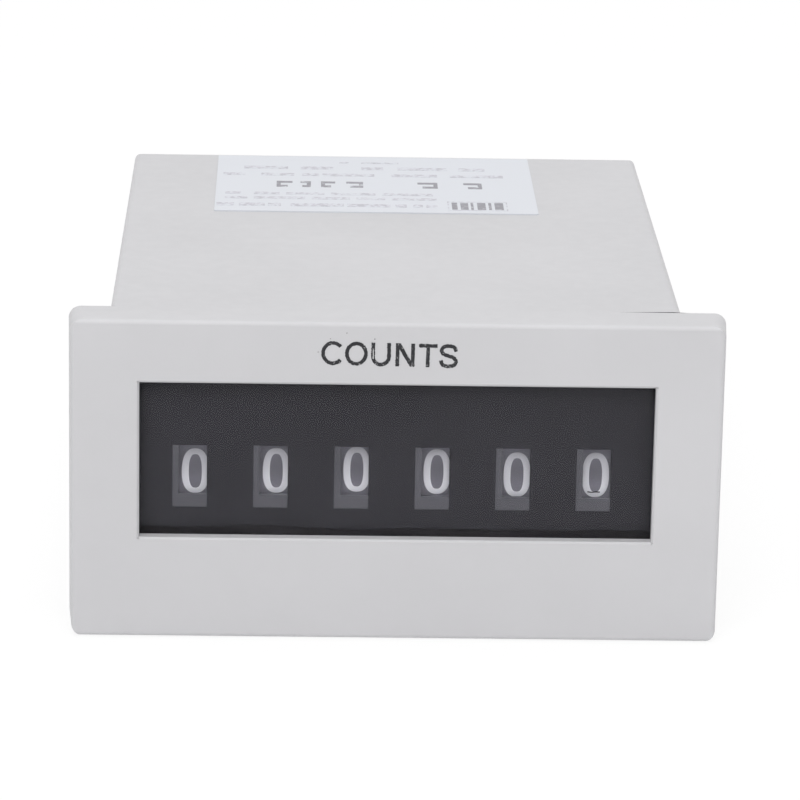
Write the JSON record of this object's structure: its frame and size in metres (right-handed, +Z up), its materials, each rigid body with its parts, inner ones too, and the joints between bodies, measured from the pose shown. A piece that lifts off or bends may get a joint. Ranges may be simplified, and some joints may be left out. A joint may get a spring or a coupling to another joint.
{
  "type": "panel counter",
  "caption": "Panel-mounted electromechanical pulse counter with number wheels behind a clear window, a flat bezel and a deep rectangular housing.",
  "frame": {"origin": "middle of the plane in which the bezel's rear face seats on the panel", "axes": "+Y points into the panel, away from the viewer; +X is the viewer's right; +Z is up"},
  "size_m": [0.0486, 0.0669, 0.0244],
  "materials": {
    "shell_plastic": "pale grey moulded plastic, fine satin",
    "clear_plastic": "clear polished plastic",
    "mask_plastic": "flat black print",
    "sight_plastic": "mid grey moulded plastic",
    "drum_plastic": "dark grey moulded plastic",
    "label_paper": "white label with grey print",
    "frame_plastic": "black moulded plastic",
    "white_plastic": "natural moulded plastic",
    "steel": "bright ground steel",
    "soft_iron": "zinc-plated soft iron",
    "copper_wire": "enamelled copper wire",
    "spring_brass": "tinned spring brass"
  },
  "bodies": {
    "case": {"bezel": "shell_plastic", "window": "clear_plastic", "digit_mask": "mask_plastic", "sight_frame": "sight_plastic", "housing": "shell_plastic", "label": "label_paper", "chassis": "frame_plastic", "wheel_shaft": "steel", "pinion_shaft": "steel", "coil_bobbin": "white_plastic", "coil_winding": "copper_wire", "magnet_core": "soft_iron", "yoke": "soft_iron", "armature_pin": "steel", "return_spring": "spring_brass", "yoke_screws": "steel", "terminals": "spring_brass"},
    "hundred_thousands_place": {"hundred_thousands_wheel": "drum_plastic"},
    "ten_thousands_place": {"ten_thousands_wheel": "drum_plastic"},
    "thousands_place": {"thousands_wheel": "drum_plastic"},
    "hundreds_place": {"hundreds_wheel": "drum_plastic"},
    "tens_place": {"tens_wheel": "drum_plastic"},
    "units_place": {"units_wheel": "drum_plastic"},
    "carry_pinion_1_body": {"carry_pinion_1": "white_plastic"},
    "carry_pinion_2_body": {"carry_pinion_2": "white_plastic"},
    "carry_pinion_3_body": {"carry_pinion_3": "white_plastic"},
    "carry_pinion_4_body": {"carry_pinion_4": "white_plastic"},
    "carry_pinion_5_body": {"carry_pinion_5": "white_plastic"},
    "armature_body": {"armature": "soft_iron", "anchor_lever": "white_plastic"}
  },
  "joints": [
    {"name": "hundred_thousands_turn", "type": "hinge", "parent": "case", "child": "hundred_thousands_place", "pos_m": [-0.015, 0.0073, 0], "axis": [-1, 0, 0], "continuous": true},
    {"name": "ten_thousands_turn", "type": "hinge", "parent": "case", "child": "ten_thousands_place", "pos_m": [-0.009, 0.0073, 0], "axis": [-1, 0, 0], "continuous": true},
    {"name": "thousands_turn", "type": "hinge", "parent": "case", "child": "thousands_place", "pos_m": [-0.003, 0.0073, 0], "axis": [-1, 0, 0], "continuous": true},
    {"name": "hundreds_turn", "type": "hinge", "parent": "case", "child": "hundreds_place", "pos_m": [0.003, 0.0073, 0], "axis": [-1, 0, 0], "continuous": true},
    {"name": "tens_turn", "type": "hinge", "parent": "case", "child": "tens_place", "pos_m": [0.009, 0.0073, 0], "axis": [-1, 0, 0], "continuous": true},
    {"name": "units_turn", "type": "hinge", "parent": "case", "child": "units_place", "pos_m": [0.015, 0.0073, 0], "axis": [-1, 0, 0], "continuous": true},
    {"name": "carry_pinion_1_turn", "type": "hinge", "parent": "case", "child": "carry_pinion_1_body", "pos_m": [-0.012, 0.01626, 0], "axis": [-1, 0, 0], "continuous": true},
    {"name": "carry_pinion_2_turn", "type": "hinge", "parent": "case", "child": "carry_pinion_2_body", "pos_m": [-0.006, 0.01626, 0], "axis": [-1, 0, 0], "continuous": true},
    {"name": "carry_pinion_3_turn", "type": "hinge", "parent": "case", "child": "carry_pinion_3_body", "pos_m": [0, 0.01626, 0], "axis": [-1, 0, 0], "continuous": true},
    {"name": "carry_pinion_4_turn", "type": "hinge", "parent": "case", "child": "carry_pinion_4_body", "pos_m": [0.006, 0.01626, 0], "axis": [-1, 0, 0], "continuous": true},
    {"name": "carry_pinion_5_turn", "type": "hinge", "parent": "case", "child": "carry_pinion_5_body", "pos_m": [0.012, 0.01626, 0], "axis": [-1, 0, 0], "continuous": true},
    {"name": "armature_swing", "type": "hinge", "parent": "case", "child": "armature_body", "pos_m": [0, 0.02376, -0.007], "axis": [-1, 0, 0], "range_deg": [0, 6], "stiffness_Nm_per_rad": 0.02, "springref_deg": -5.73, "deforming": ["return_spring"]}
  ],
  "couplings": [
    {"joint": "carry_pinion_1_turn", "follows": "hundred_thousands_turn", "ratio": -2.5},
    {"joint": "carry_pinion_2_turn", "follows": "ten_thousands_turn", "ratio": -2.5},
    {"joint": "carry_pinion_3_turn", "follows": "thousands_turn", "ratio": -2.5},
    {"joint": "carry_pinion_4_turn", "follows": "hundreds_turn", "ratio": -2.5},
    {"joint": "carry_pinion_5_turn", "follows": "tens_turn", "ratio": -2.5}
  ]
}
